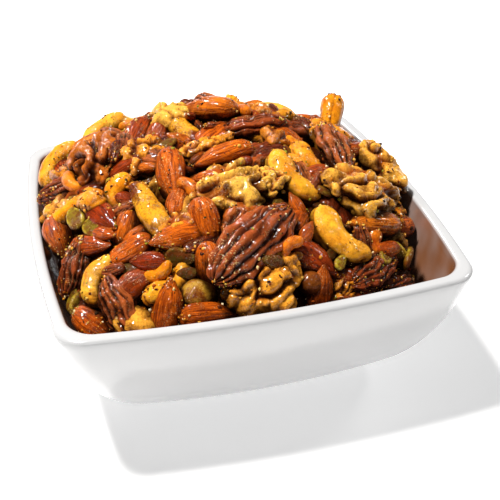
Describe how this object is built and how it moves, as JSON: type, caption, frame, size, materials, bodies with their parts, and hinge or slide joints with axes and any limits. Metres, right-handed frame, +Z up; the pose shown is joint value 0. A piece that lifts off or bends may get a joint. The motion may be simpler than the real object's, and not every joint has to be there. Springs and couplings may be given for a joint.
{
  "type": "bowl of cheese coated nuts",
  "caption": "Soft-square white glazed snack bowl heaped over its rim with glossy coated almonds, cashews, walnut and pecan halves.",
  "frame": {"origin": "middle of the bowl's foot, on the surface that the bowl stands on", "axes": "+Z up out of the bowl, +Y towards the back side that the heap leans to, +X to the right seen from the front"},
  "size_m": [0.15, 0.15, 0.0867],
  "materials": {
    "glaze": "smooth glossy white glaze",
    "coated_nuts": "oily coating with crumbs of spice, golden to dark brown"
  },
  "bodies": {
    "root": {"bowl": "glaze", "nuts": "coated_nuts"}
  },
  "joints": []
}
